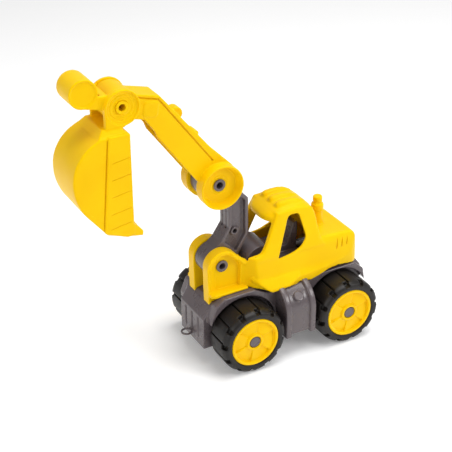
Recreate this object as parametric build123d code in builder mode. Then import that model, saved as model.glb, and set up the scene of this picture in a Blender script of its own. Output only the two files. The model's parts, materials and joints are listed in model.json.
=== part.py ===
"""Push-along sandbox excavator toy: four wheels, an open cab, a two-part arm and a bucket.

Units are millimetres. +X is forward (the bucket end), +Y is the toy's left, +Z is up and the
ground is Z = 0. Outlines seen from the side are drawn on planes that face right, with their
origin on the centre plane, so that each outline is written from the wheelbase's middle or
from the pin that the piece turns on.
"""
from build123d import *
import os

os.makedirs("parts", exist_ok=True)

# ---------------------------------------------------------------- driving dimensions
mid_x = -64.6                 # middle of the wheelbase
wheelbase = 110.7
tyre_r = 35.0
tyre_inner_y = 26.8
tyre_outer_y = 60.0
lug_count = 12
lug_gap = 5.0                 # width of the open notches at the tyre's shoulder
lug_depth = 4.4
groove_gap = 1.5              # width of the fine grooves across the tread
groove_depth = 2.3
lug_phase = {"front": 5.4, "rear": 23.5}
rim_r = 26.0
rim_face_y = 59.6
hub_r = 8.5
axle_r = 3.0
axle_z = tyre_r
running_gap = 0.05            # radial clearance of a turning fit
cap_r = 5.75
cap_outer_y = 58.6

wall = 2.4                    # thickness of a moulded wall
hull_half = 24.5              # half width of the chassis between the wheels
fender_half = 34.0
arch_r = 38.2                 # wheel arch about the axle
deck_top = 72.0
deck_under = 68.5
floor_under = 19.6
floor_top = 22.0
tank_half_x = 17.5
tank_outer_y = 55.5

base_pin_x = 70.0             # arm pins, x measured from the middle of the wheelbase
base_pin_z = 105.0
elbow_x = 70.5
elbow_z = 192.1
tip_x = 167.2
tip_z = 292.6

pin_r = 4.6                   # hollow pins of the arm
pin_bore_r = 3.4
pin_head_r = 6.2
arm_half = 9.2                # half width of the lower arm
ear_inner_y = 9.6
ear_outer_y = 21.0
fork_outer_y = 22.5
elbow_disc_r = 22.4
beam_half = 12.5              # half width of the upper arm
tip_barrel_half = 13.2
bucket_half = 25.0
bucket_rim_half = 26.5
grip_r = 13.6
grip_half = 14.5
screw_r = 1.5


def side_plane(x, z=0.0, y=0.0):
    """Plane facing right (-Y) through y; its origin is x forward of the wheelbase's middle."""
    return Plane(origin=(mid_x + x, y, z), x_dir=(1, 0, 0), z_dir=(0, -1, 0))


def front_plane(x):
    """Plane facing forward at x from the wheelbase's middle: local x is +Y, local y is +Z."""
    return Plane(origin=(mid_x + x, 0, 0), x_dir=(0, 1, 0), z_dir=(1, 0, 0))


def level(z):
    """Horizontal plane at height z, with its origin under the wheelbase's middle."""
    return Plane(origin=(mid_x, 0, z), x_dir=(1, 0, 0), z_dir=(0, 0, 1))


axle_x = {"front": wheelbase / 2, "rear": -wheelbase / 2}
sides = {"left": 1, "right": -1}


def save(part, node):
    """Label a finished part and write it as its own STEP file."""
    part.label = node
    export_step(part, "parts/" + node + ".step")


# ---------------------------------------------------------------- chassis
deck_outline = [
    (95.0, 19.5), (95.0, 53.0), (87.0, 66.0), (83.0, 70.0), (60.0, deck_top),
    (-48.0, deck_top), (-58.0, 75.5), (-82.0, 75.5), (-90.0, 65.0), (-88.0, 24.0), (-84.0, 19.5),
]
hollow_outline = [
    (91.5, 15.0), (91.5, 52.0), (83.5, 64.5), (60.0, deck_under),
    (-60.0, deck_under), (-78.0, deck_under), (-86.5, 61.0), (-85.0, 15.0),
]
fender_outline = [
    (91.0, 24.0), (90.5, 56.0), (85.0, 70.0), (76.0, 76.5), (42.0, 77.5), (26.0, 70.0),
    (-18.0, 69.0), (-34.0, 75.0), (-76.0, 75.5), (-87.0, 66.0), (-90.0, 50.0), (-90.0, 24.0),
]
floor_places = [(-22.0, -14.0), (-22.0, 14.0), (22.0, -14.0), (22.0, 14.0)]
body_places = [(-44.0, -15.0), (-44.0, 15.0), (56.0, -13.3), (56.0, 13.3)]

with BuildPart() as chassis_frame:
    with BuildSketch(side_plane(0)):
        with BuildLine():
            Polyline(*deck_outline, close=True)
        make_face()
    extrude(amount=hull_half, both=True)
    for turn in sides.values():
        with BuildSketch(side_plane(0, y=hull_half * turn)):
            with BuildLine():
                Polyline(*fender_outline, close=True)
            make_face()
        extrude(amount=-(fender_half - hull_half) * turn)
        # wheel arches, cut outside the hull only
        with BuildSketch(side_plane(0, y=hull_half * turn)):
            with Locations(*[(x, axle_z) for x in axle_x.values()]):
                Circle(arch_r)
        extrude(amount=-20.0 * turn, mode=Mode.SUBTRACT)
    # the moulding is hollow from below
    with BuildSketch(side_plane(0)):
        with BuildLine():
            Polyline(*hollow_outline, close=True)
        make_face()
    extrude(amount=hull_half - wall, both=True, mode=Mode.SUBTRACT)
    # posts that the floor is screwed to
    with BuildSketch(level(floor_top)):
        with Locations(*floor_places):
            Circle(3.4)
    extrude(amount=deck_top - 1.0 - floor_top)
    with BuildSketch(level(floor_top)):
        with Locations(*floor_places):
            Circle(screw_r)
    extrude(amount=12.0, mode=Mode.SUBTRACT)
    # clearance holes for the screws that hold the body
    with BuildSketch(level(deck_under)):
        with Locations(*body_places):
            Circle(screw_r)
    extrude(amount=8.0, mode=Mode.SUBTRACT)
    # three grille slots in the nose
    with BuildSketch(front_plane(95.0)):
        with Locations((-13.0, 39.5), (0.0, 39.5), (13.0, 39.5)):
            SlotOverall(23.0, 3.2, rotation=90)
    extrude(amount=-1.6, mode=Mode.SUBTRACT)
    # towing eye
    with BuildSketch(level(27.5)):
        with Locations((101.5, 0)):
            Circle(6.0)
        with Locations((96.5, 0)):
            Rectangle(6.0, 9.0)
        with Locations((101.5, 0)):
            Circle(4.0, mode=Mode.SUBTRACT)
    extrude(amount=2.0)
    # axle bearings through both hull sides
    with BuildSketch(side_plane(0)):
        with Locations(*[(x, axle_z) for x in axle_x.values()]):
            Circle(6.0)
    extrude(amount=hull_half, both=True)
    with BuildSketch(side_plane(0)):
        with Locations(*[(x, axle_z) for x in axle_x.values()]):
            Circle(axle_r)
    extrude(amount=hull_half + 1.0, both=True, mode=Mode.SUBTRACT)
save(chassis_frame.part, "chassis_frame")

with BuildPart() as chassis_floor:
    with BuildSketch(level(floor_under)):
        with Locations((3.2, 0)):
            RectangleRounded(175.0, 2 * (hull_half - wall) - 0.2, 3.0)
    extrude(amount=floor_top - floor_under)
    with BuildSketch(level(floor_under)):
        with Locations(*floor_places):
            Circle(3.2)
    extrude(amount=1.2, mode=Mode.SUBTRACT)
    with BuildSketch(level(floor_under)):
        with Locations(*floor_places):
            Circle(screw_r)
    extrude(amount=4.0, mode=Mode.SUBTRACT)
save(chassis_floor.part, "chassis_floor")

with BuildPart() as floor_screws:
    with BuildSketch(level(floor_under)):
        with Locations(*floor_places):
            Circle(3.0)
    extrude(amount=1.2)
    with BuildSketch(level(floor_under + 1.2)):
        with Locations(*floor_places):
            Circle(screw_r)
    extrude(amount=10.0)
    with BuildSketch(level(floor_under)):
        with Locations(*floor_places):
            Rectangle(3.6, 0.7)
            Rectangle(0.7, 3.6)
    extrude(amount=0.7, mode=Mode.SUBTRACT)
save(floor_screws.part, "floor_screws")

# ---------------------------------------------------------------- side tanks
tank_bottom = 24.0
tank_shoulder_z = 50.0
tank_shoulder_r = 26.8
tank_panel_in = 3.0           # depth of the flat panel between the two ribs
tank_rib_w = 6.8


def tank_section(x, turn, inset, bottom):
    """A tank's front-view section at x: upright side, round shoulder, flat underside."""
    centre_y = tank_outer_y - tank_shoulder_r
    r = tank_shoulder_r - inset
    top_y = fender_half + 0.05
    top_z = tank_shoulder_z + (r * r - (top_y - centre_y) ** 2) ** 0.5
    with BuildSketch(front_plane(x)) as section:
        with BuildLine():
            Polyline((top_y * turn, top_z), (top_y * turn, bottom), ((centre_y + r) * turn, bottom),
                     ((centre_y + r) * turn, tank_shoulder_z))
            ThreePointArc(((centre_y + r) * turn, tank_shoulder_z),
                          ((centre_y + r * 0.8) * turn, tank_shoulder_z + r * 0.6),
                          (top_y * turn, top_z))
        make_face()
    return section.sketch


def build_tank(turn):
    """Side tank: a panel with a round boss on its shoulder, between two arched ribs."""
    with BuildPart() as tank:
        panel = tank_section(1.5 - tank_half_x, turn, tank_panel_in, tank_bottom + 1.5)
        extrude(panel, amount=2 * tank_half_x - 3.0)
        for rib_x in (-tank_half_x, tank_half_x - tank_rib_w):
            extrude(tank_section(rib_x, turn, 0.0, tank_bottom), amount=tank_rib_w)
        uprights = tank.edges().filter_by(Axis.Z).filter_by(lambda e: abs(e.center().Y) > tank_outer_y - 0.1)
        arches = tank.edges().filter_by(GeomType.CIRCLE).filter_by(lambda e: e.radius > tank_shoulder_r - 0.1)
        fillet(uprights + arches, 1.8)
        with BuildSketch(Plane(origin=(mid_x, 45.4 * turn, 62.8), x_dir=(1, 0, 0),
                               z_dir=(0, 0.68 * turn, 0.73))):
            Circle(5.2)
        extrude(amount=5.2)
    return tank.part


tanks = {name: build_tank(turn) for name, turn in sides.items()}
for name, tank in tanks.items():
    save(tank, "side_tank_" + name)

# ---------------------------------------------------------------- body shell: skirt, hood, cab, ears
hood_profile = [
    (50.0, 66.0), (50.0, 107.0), (47.5, 110.4), (-36.0, 113.2), (-73.0, 111.5), (-77.0, 108.0), (-81.0, 77.0),
    (-76.0, 75.6), (-57.0, 78.5), (-44.0, 78.0), (-31.0, 73.6), (-22.0, 71.8), (-9.0, 74.4), (1.0, 69.4),
    (5.0, 73.6), (24.0, 72.0), (29.0, 75.0), (37.0, 77.4), (44.0, 66.0),
]
cab_profile = [
    (30.0, 106.0), (29.5, 112.5), (25.5, 118.5), (16.0, 140.0), (21.6, 141.0), (21.6, 144.5), (16.0, 149.0),
    (7.0, 152.4), (-6.0, 154.6), (-18.0, 153.8), (-25.0, 151.0), (-30.0, 146.0), (-36.0, 112.0),
    (-36.0, 106.0),
]
body_plan = [
    (50.0, 20.0), (47.0, 21.8), (44.0, 26.0), (38.0, 33.0), (26.0, 36.6), (0.0, 36.2), (-40.0, 35.0),
    (-74.0, 32.4), (-81.0, 28.0), (-81.0, -28.0), (-74.0, -32.4), (-40.0, -35.0), (0.0, -36.2),
    (26.0, -36.6), (38.0, -33.0), (44.0, -26.0), (47.0, -21.8), (50.0, -20.0),
]
roof_plan = [
    (29.5, 32.0), (23.0, 30.0), (16.0, 19.0), (20.5, 9.0), (21.6, 0.0), (20.5, -9.0), (16.0, -19.0),
    (23.0, -30.0), (29.5, -32.0), (-40.0, -32.0), (-40.0, 32.0),
]
body_front = [
    (37.0, 60.0), (36.4, 77.0), (33.2, 92.0), (31.2, 108.0), (24.4, 149.0), (21.0, 154.6),
    (-21.0, 154.6), (-24.4, 149.0), (-31.2, 108.0), (-33.2, 92.0), (-36.4, 77.0), (-37.0, 60.0),
]
window_outline = [
    (14.5, 103.0), (-1.0, 146.0), (-12.5, 146.0), (-19.0, 119.0), (-13.5, 110.5), (-2.0, 105.5),
]
sill_z = 111.0


def body_form(side_outline, plan_outline, inset):
    """Solid common to a side outline, a plan outline and the body's front, drawn in by inset."""
    with BuildPart() as form:
        with BuildSketch(side_plane(0)):
            with BuildLine():
                Polyline(*side_outline, close=True)
            make_face()
            if inset:
                offset(amount=-inset, kind=Kind.INTERSECTION)
        extrude(amount=40.0, both=True)
        with BuildSketch(level(50.0)):
            with BuildLine():
                Polyline(*plan_outline, close=True)
            make_face()
            if inset:
                offset(amount=-inset, kind=Kind.INTERSECTION)
        extrude(amount=120.0, mode=Mode.INTERSECT)
        with BuildSketch(front_plane(-100.0)):
            with BuildLine():
                Polyline(*body_front, close=True)
            make_face()
            if inset:
                offset(amount=-inset, kind=Kind.INTERSECTION)
        extrude(amount=200.0, mode=Mode.INTERSECT)
    return form.part


ledge_outline = [
    (44.0, 88.0), (38.0, 91.0), (22.0, 86.0), (4.0, 83.0), (2.0, 76.0), (5.0, 73.6), (24.0, 72.0),
    (30.0, 75.6),
]
ledge_front = [(20.0, 66.0), (38.4, 66.0), (38.2, 75.0), (33.2, 90.0), (20.0, 90.0)]
ledge_plan = [(46.0, 18.0), (44.0, 28.0), (36.0, 35.2), (25.0, 38.6), (4.0, 37.6), (0.0, 30.0), (0.0, 18.0)]


def build_ledge(turn):
    """Flared lower edge of the cab's side, above the front wheel."""
    with BuildPart() as ledge:
        with BuildSketch(side_plane(0, y=20.0 * turn)):
            with BuildLine():
                Polyline(*ledge_outline, close=True)
            make_face()
        extrude(amount=-24.0 * turn)
        with BuildSketch(front_plane(0.0)):
            with BuildLine():
                Polyline(*[(y * turn, z) for y, z in ledge_front], close=True)
            make_face()
        extrude(amount=60.0, mode=Mode.INTERSECT)
        with BuildSketch(level(60.0)):
            with BuildLine():
                Polyline(*[(x, y * turn) for x, y in ledge_plan], close=True)
            make_face()
        extrude(amount=40.0, mode=Mode.INTERSECT)
    return ledge.part


ridge_outline = [(6.8, 148.0), (6.6, 154.0), (3.5, 156.6), (-5.0, 157.2), (-15.0, 156.2), (-24.0, 149.0)]
ear_outline = [
    (16.6, 0.0), (16.6, -39.0), (-24.0, -39.0), (-24.0, -2.0), (-17.0, 8.0), (-8.0, 15.4), (0.0, 17.4),
    (12.0, 12.5),
]
ear_recess = [
    (20.0, -1.0), (20.0, -25.4), (-18.5, -25.4), (-18.5, -1.0), (-14.0, 5.0), (-7.0, 11.2), (0.0, 12.8),
    (7.0, 10.6), (11.0, 6.0), (12.4, -1.0),
]
lip_outline = [(-12.0, 12.4), (-20.0, 4.6), (-26.5, 0.4), (-27.5, -2.2), (-22.0, -2.6), (-14.0, 5.0)]


def build_recess(turn):
    """Hollow in an ear's outer face; its floor slopes in from the front edge."""
    floor = [(22.0, 21.2), (14.6, 20.8), (7.0, 17.0), (-30.0, 17.0), (-30.0, 26.0), (22.0, 26.0)]
    with BuildPart() as recess:
        with BuildSketch(side_plane(base_pin_x, base_pin_z, y=12.0 * turn)):
            with BuildLine():
                Polyline(*ear_recess, close=True)
            make_face()
        extrude(amount=-12.0 * turn)
        with BuildSketch(level(60.0)):
            with BuildLine():
                Polyline(*[(base_pin_x + x, y * turn) for x, y in floor], close=True)
            make_face()
        extrude(amount=80.0, mode=Mode.INTERSECT)
    return recess.part


with BuildPart() as body_shell:
    add(body_form(hood_profile, body_plan, 0.0))
    add(body_form(cab_profile, roof_plan, 0.0))
    # ridges along the roof
    for ridge_y in (-13.0, 0.0, 13.0):
        with BuildSketch(side_plane(0, y=ridge_y)):
            with BuildLine():
                Polyline(*ridge_outline, close=True)
            make_face()
        extrude(amount=3.6, both=True)
    for turn in sides.values():
        add(build_ledge(turn))
    add(body_form(hood_profile, body_plan, wall), mode=Mode.SUBTRACT)
    add(body_form(cab_profile, roof_plan, wall), mode=Mode.SUBTRACT)
    # the cab is open to the hood
    with BuildSketch(level(100.0)):
        with Locations((-3.0, 0)):
            Rectangle(58.0, 54.0)
    extrude(amount=16.0, mode=Mode.SUBTRACT)
    # open underside, so that the shell drops over the deck
    with BuildSketch(level(60.0)):
        with BuildLine():
            Polyline(*body_plan, close=True)
        make_face()
        offset(amount=-wall, kind=Kind.INTERSECTION)
    extrude(amount=22.0, mode=Mode.SUBTRACT)
    # side windows
    with BuildSketch(side_plane(0)):
        with BuildLine():
            Polyline(*window_outline, close=True)
        make_face()
        fillet(vertices(), 2.5)
    extrude(amount=45.0, both=True, mode=Mode.SUBTRACT)
    # windscreen opening above the sill, and the open top of the cowl
    with BuildSketch(front_plane(2.0)):
        with BuildLine():
            Polyline((26.0, sill_z), (20.3, 139.6), (-20.3, 139.6), (-26.0, sill_z), close=True)
        make_face()
    extrude(amount=60.0, mode=Mode.SUBTRACT)
    with BuildSketch(level(sill_z - 3.0)):
        with Locations((35.0, 0)):
            Rectangle(24.0, 48.0)
    extrude(amount=12.0, mode=Mode.SUBTRACT)
    # ears that carry the arm
    with BuildSketch(side_plane(base_pin_x, base_pin_z)):
        with BuildLine():
            Polyline(*ear_outline, close=True)
        make_face()
        Circle(17.4)
    extrude(amount=ear_outer_y, both=True)
    # gap between the ears, and room behind them for the arm's heel
    with BuildSketch(side_plane(base_pin_x, base_pin_z)):
        Circle(26.0)
        with Locations((14.0, -20.0)):
            Rectangle(40.0, 60.0)
    extrude(amount=ear_inner_y, both=True, mode=Mode.SUBTRACT)
    for turn in sides.values():
        # skirt that spreads from the ear's foot over the fender
        with BuildSketch(level(76.0)):
            with BuildLine():
                Polyline((46.0, 10.0 * turn), (86.0, 10.0 * turn), (86.0, 25.5 * turn), (82.0, 28.0 * turn),
                         (46.0, 28.0 * turn), close=True)
            make_face()
        extrude(amount=3.6)
        add(build_recess(turn), mode=Mode.SUBTRACT)
        with BuildSketch(side_plane(base_pin_x, base_pin_z, y=16.0 * turn)):
            with BuildLine():
                Polyline(*lip_outline, close=True)
            make_face()
        extrude(amount=-7.5 * turn)
    with BuildSketch(side_plane(base_pin_x, base_pin_z)):
        Circle(pin_r)
    extrude(amount=30.0, both=True, mode=Mode.SUBTRACT)
    # rear bosses for the body screws; the front screws enter the ears
    with BuildSketch(level(deck_top)):
        with Locations(*body_places[:2]):
            Circle(3.6)
    extrude(amount=38.5)
    with BuildSketch(level(deck_top - 2.0)):
        with Locations(*body_places):
            Circle(screw_r)
    extrude(amount=11.0, mode=Mode.SUBTRACT)
    # louvres in the hood's sides
    for turn in sides.values():
        with BuildSketch(side_plane(0, y=28.0 * turn)):
            with Locations((-55.0, 104.0), (-61.0, 104.5), (-67.0, 105.0)):
                SlotOverall(14.0, 1.5, rotation=82)
        extrude(amount=-10.0 * turn, mode=Mode.SUBTRACT)
    # socket of the exhaust stack
    with BuildSketch(level(100.0)):
        with Locations((-50.0, 0)):
            Circle(3.0)
    extrude(amount=20.0, mode=Mode.SUBTRACT)
    # the skirt fits over the deck, the fenders and the tanks
    with BuildSketch(side_plane(0)):
        with BuildLine():
            Polyline(*deck_outline, close=True)
        make_face()
    extrude(amount=hull_half, both=True, mode=Mode.SUBTRACT)
    for turn in sides.values():
        with BuildSketch(side_plane(0, y=(hull_half - 1.0) * turn)):
            with BuildLine():
                Polyline(*fender_outline, close=True)
            make_face()
        extrude(amount=-(fender_half - hull_half + 1.0) * turn, mode=Mode.SUBTRACT)
    for tank in tanks.values():
        add(tank, mode=Mode.SUBTRACT)
save(body_shell.part, "body_shell")

with BuildPart() as body_screws:
    with BuildSketch(level(deck_under - 1.6)):
        with Locations(*body_places):
            Circle(3.0)
    extrude(amount=1.6)
    with BuildSketch(level(deck_under)):
        with Locations(*body_places):
            Circle(screw_r)
    extrude(amount=11.0)
save(body_screws.part, "body_screws")

# ---------------------------------------------------------------- cab interior and exhaust
with BuildPart() as cab_interior:
    # pedestal and floor
    with BuildSketch(level(deck_top)):
        with Locations((10.0, 0)):
            Rectangle(52.0, 24.0)
    extrude(amount=25.0)
    with BuildSketch(level(95.0)):
        with Locations((3.0, 0)):
            RectangleRounded(48.0, 50.0, 4.0)
    extrude(amount=2.4)
    # front console: a half drum across the cab
    with BuildSketch(side_plane(26.0, 96.5)):
        Circle(18.0)
        with Locations((0.0, -15.0)):
            Rectangle(40.0, 30.0, mode=Mode.SUBTRACT)
    extrude(amount=17.0, both=True)
    # seat: cushion and reclined back
    with BuildSketch(side_plane(-8.0, 97.0)):
        with BuildLine():
            Polyline((12.0, 0.0), (13.0, 7.0), (0.0, 8.0), (-7.0, 31.0), (-12.0, 31.0), (-11.0, 0.0),
                     close=True)
        make_face()
        fillet(vertices(), 1.4)
    extrude(amount=11.0, both=True)
save(cab_interior.part, "cab_interior")

with BuildPart() as exhaust_stack:
    with BuildSketch(side_plane(-50.0, 0.0)):
        with BuildLine():
            Polyline((0.0, 106.0), (2.95, 106.0), (2.95, 113.05), (8.0, 113.05), (6.4, 115.4), (5.6, 120.0),
                     (5.3, 127.6), (6.2, 128.8), (6.5, 131.0), (6.4, 135.2), (5.2, 137.0), (4.5, 138.0),
                     (4.5, 138.8), (4.9, 139.4), (4.9, 143.4), (4.2, 144.4), (0.0, 144.4), close=True)
        make_face()
    revolve(axis=Axis((mid_x - 50.0, 0, 0), (0, 0, 1)))
save(exhaust_stack.part, "exhaust_stack")

# ---------------------------------------------------------------- axles and wheels
cap_inner_y = 56.4

for place, x in axle_x.items():
    with BuildPart() as axle:
        with BuildSketch(side_plane(x, axle_z)):
            Circle(axle_r)
        extrude(amount=cap_outer_y - 0.6, both=True)
    save(axle.part, place + "_axle")


def revolve_outline(points, x, turn):
    """Turn an outline of (radius, distance from centre plane) about the wheel's axle."""
    with BuildPart() as turned:
        with BuildSketch(Plane(origin=(mid_x + x, 0, axle_z), x_dir=(0, 0, 1), z_dir=(-turn, 0, 0))):
            with BuildLine():
                Polyline(*points, close=True)
            make_face()
        revolve(axis=Axis((mid_x + x, 0, axle_z), (0, 1, 0)))
    return turned.part


tyre_outline = [
    (rim_r, tyre_inner_y + 2.0), (30.0, tyre_inner_y), (33.4, tyre_inner_y + 1.2),
    (tyre_r, tyre_inner_y + 4.0), (tyre_r, tyre_outer_y - 5.5), (34.3, tyre_outer_y - 2.8),
    (32.6, tyre_outer_y - 0.8), (30.2, tyre_outer_y),
    (28.0, tyre_outer_y), (rim_r, tyre_outer_y - 0.8),
]
rim_outline = [
    (axle_r + running_gap, 24.9), (7.0, 24.9), (7.6, 50.0), (22.6, 52.0), (22.6, tyre_inner_y + 3.0),
    (rim_r, tyre_inner_y + 3.0), (rim_r, rim_face_y - 0.6), (25.4, rim_face_y), (23.0, rim_face_y),
    (22.4, rim_face_y - 1.0), (21.6, 56.2), (10.4, 54.4), (hub_r, 58.2), (hub_r - 0.6, rim_face_y - 0.4),
    (6.1, rim_face_y - 0.4), (6.1, cap_inner_y), (axle_r + running_gap, cap_inner_y),
]
spoke_count = 6


def build_tyre(x, turn, phase):
    """Tyre with a smooth crown cut by fine grooves, and open notches in its outer shoulder."""
    with BuildPart() as tyre:
        add(revolve_outline(tyre_outline, x, turn))
        with BuildSketch(side_plane(x, axle_z, y=(tyre_outer_y - 7.5) * turn)):
            with PolarLocations(tyre_r, lug_count, start_angle=phase):
                Rectangle(2 * lug_depth, lug_gap)
        extrude(amount=-8.5 * turn, mode=Mode.SUBTRACT)
        with BuildSketch(side_plane(x, axle_z, y=tyre_inner_y * turn)):
            with PolarLocations(tyre_r, lug_count, start_angle=phase + 5.4):
                Rectangle(2 * groove_depth, groove_gap)
        extrude(amount=-28.0 * turn, mode=Mode.SUBTRACT)
    return tyre.part


def build_rim(x, turn):
    """Rim with a recessed dish stiffened by radial steps around a raised hub ring."""
    with BuildPart() as rim:
        add(revolve_outline(rim_outline, x, turn))
        with BuildSketch(side_plane(x, axle_z, y=54.0 * turn)):
            with PolarLocations(15.4, spoke_count, start_angle=41.5):
                Rectangle(14.0, 1.8)
        extrude(amount=-4.2 * turn)
    return rim.part


def build_cap(x, turn):
    """Hub cap pressed onto the axle's end."""
    with BuildPart() as cap:
        add(revolve_outline([(axle_r, cap_inner_y + 0.1), (cap_r, cap_inner_y + 0.1),
                             (cap_r, cap_outer_y - 0.5), (cap_r - 0.5, cap_outer_y), (0.0, cap_outer_y),
                             (0.0, cap_outer_y - 0.6), (axle_r, cap_outer_y - 0.6)], x, turn))
    return cap.part


for place, x in axle_x.items():
    for name, turn in sides.items():
        corner = place + "_" + name
        save(build_tyre(x, turn, lug_phase[place]), corner + "_tyre")
        save(build_rim(x, turn), corner + "_rim")
        save(build_cap(x, turn), corner + "_hub_cap")

# ---------------------------------------------------------------- arm pins
def build_pin(x, z, near_y, far_y):
    """Hollow pin with a head on the left and, at its right end, a groove for its clip."""
    with BuildPart() as pin:
        with BuildSketch(side_plane(x, z, y=near_y)):
            Circle(pin_r - running_gap)
        extrude(amount=near_y + far_y)
        with BuildSketch(side_plane(x, z, y=near_y + 1.6)):
            Circle(pin_head_r)
        extrude(amount=1.6)
        with BuildSketch(side_plane(x, z, y=near_y + 1.6)):
            Circle(pin_bore_r)
        extrude(amount=near_y + far_y + 4.0, mode=Mode.SUBTRACT)
    return pin.part


def build_clip(x, z, far_y):
    """Ring snapped over the far end of a hollow pin."""
    with BuildPart() as clip:
        with BuildSketch(side_plane(x, z, y=-far_y)):
            Circle(pin_head_r)
            Circle(pin_r - running_gap, mode=Mode.SUBTRACT)
        extrude(amount=1.6)
    return clip.part


pin_places = {
    "base": (base_pin_x, base_pin_z, 17.0, 17.0),
    "elbow": (elbow_x, elbow_z, 14.0, 14.0),
    "bucket": (tip_x, tip_z, 17.0, 17.0),
}
for name, (x, z, near_y, far_y) in pin_places.items():
    save(build_pin(x, z, near_y, far_y), name + "_pin")
    save(build_clip(x, z, far_y), name + "_pin_clip")

# ---------------------------------------------------------------- lower arm
lower_outline = [
    (60.0, 98.0), (47.3, 107.8), (35.5, 127.3), (36.0, 168.0), (41.8, 174.2), (52.0, 194.0),
    (70.0, 200.0), (84.0, 183.0), (64.0, 174.0), (57.5, 165.0), (57.5, 140.0), (66.5, 126.5),
    (76.0, 118.0), (80.0, 100.0),
]
lower_pocket = [
    (53.8, 141.0), (53.8, 166.0), (48.0, 171.5), (43.5, 170.0), (39.4, 166.0), (39.0, 128.5),
    (49.5, 111.5), (56.0, 119.5), (62.0, 124.5),
]
base_head_r = 16.0
elbow_head_r = 18.8
pocket_depth = 5.2

with BuildPart() as lower_arm:
    with BuildSketch(side_plane(0)):
        with BuildLine():
            Polyline(*lower_outline, close=True)
        make_face()
        with Locations((base_pin_x, base_pin_z)):
            Circle(base_head_r)
        with Locations((elbow_x, elbow_z)):
            Circle(elbow_head_r)
    extrude(amount=arm_half, both=True)
    for turn in sides.values():
        with BuildSketch(side_plane(0, y=arm_half * turn)):
            with BuildLine():
                Polyline(*lower_pocket, close=True)
            make_face()
            fillet(vertices(), 1.2)
        extrude(amount=pocket_depth * turn, mode=Mode.SUBTRACT)
    # boss with a through hole in the bend
    with BuildSketch(side_plane(50.0, 133.8)):
        Circle(4.4)
    extrude(amount=arm_half - 1.4, both=True)
    with BuildSketch(side_plane(50.0, 133.8)):
        Circle(2.4)
    extrude(amount=arm_half, both=True, mode=Mode.SUBTRACT)
    # two shallow flutes down the front face
    with BuildSketch(level(136.0)):
        with Locations((57.5, 3.6), (57.5, -3.6)):
            Circle(1.1)
    extrude(amount=34.0, mode=Mode.SUBTRACT)
    for x, z in ((base_pin_x, base_pin_z), (elbow_x, elbow_z)):
        with BuildSketch(side_plane(x, z)):
            Circle(pin_r)
        extrude(amount=arm_half + 1.0, both=True, mode=Mode.SUBTRACT)
save(lower_arm.part, "lower_arm")

# ---------------------------------------------------------------- upper arm
beam_outline = [
    (166.0, 303.0), (157.0, 301.0), (128.5, 294.0), (79.0, 233.5), (55.0, 209.0), (70.0, 192.0),
    (93.0, 201.0), (132.0, 254.0), (134.5, 260.5), (144.0, 274.0), (152.0, 276.0), (167.0, 280.0),
]
beam_hollow = [
    (148.0, 297.0), (129.5, 291.0), (84.0, 235.5), (75.0, 222.0), (96.0, 190.0), (140.0, 250.0),
    (150.0, 270.0),
]

with BuildPart() as upper_arm:
    with BuildSketch(side_plane(0)):
        with BuildLine():
            Polyline(*beam_outline, close=True)
        make_face()
    extrude(amount=beam_half, both=True)
    # channel open from below
    with BuildSketch(side_plane(0)):
        with BuildLine():
            Polyline(*beam_hollow, close=True)
        make_face()
    extrude(amount=beam_half - wall, both=True, mode=Mode.SUBTRACT)
    # fork at the elbow
    with BuildSketch(side_plane(elbow_x, elbow_z)):
        Circle(elbow_disc_r)
    extrude(amount=fork_outer_y, both=True)
    with BuildSketch(side_plane(elbow_x, elbow_z)):
        Circle(elbow_disc_r + 0.6)
        with Locations((-6.0, -20.0)):
            Rectangle(60.0, 40.0)
    extrude(amount=ear_inner_y, both=True, mode=Mode.SUBTRACT)
    for turn in sides.values():
        with BuildSketch(side_plane(elbow_x, elbow_z, y=14.0 * turn)):
            Circle(17.6)
        with BuildSketch(side_plane(elbow_x, elbow_z, y=fork_outer_y * turn)):
            Circle(elbow_disc_r - 1.6)
        loft(mode=Mode.SUBTRACT)
    # barrel at the bucket end
    with BuildSketch(side_plane(tip_x, tip_z)):
        Circle(15.8)
    extrude(amount=tip_barrel_half, both=True)
    for x, z in ((elbow_x, elbow_z), (tip_x, tip_z)):
        with BuildSketch(side_plane(x, z)):
            Circle(pin_r)
        extrude(amount=30.0, both=True, mode=Mode.SUBTRACT)
    # hose lugs on the back of the beam
    with BuildSketch(side_plane(109.2, 269.4)):
        Circle(6.6)
    extrude(amount=5.0, both=True)
    with BuildSketch(side_plane(90.6, 246.4)):
        Circle(3.2)
    extrude(amount=7.0, both=True)
    # raised pads on both cheeks
    for turn in sides.values():
        with BuildSketch(side_plane(137.5, 282.6, y=beam_half * turn)):
            RectangleRounded(14.0, 14.0, 3.0, rotation=8)
        extrude(amount=-0.6 * turn)
save(upper_arm.part, "upper_arm")

# ---------------------------------------------------------------- bucket
bucket_ear_r = 17.0
bucket_ear_t = {"left": 6.4, "right": 3.4}
bucket_ear_recess_r = 15.2
ear_gap_y = 13.6            # half of the clear width between the ears
barrel_gap_r = 16.3         # room for the upper arm's barrel
saddle_z = 276.0

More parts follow.
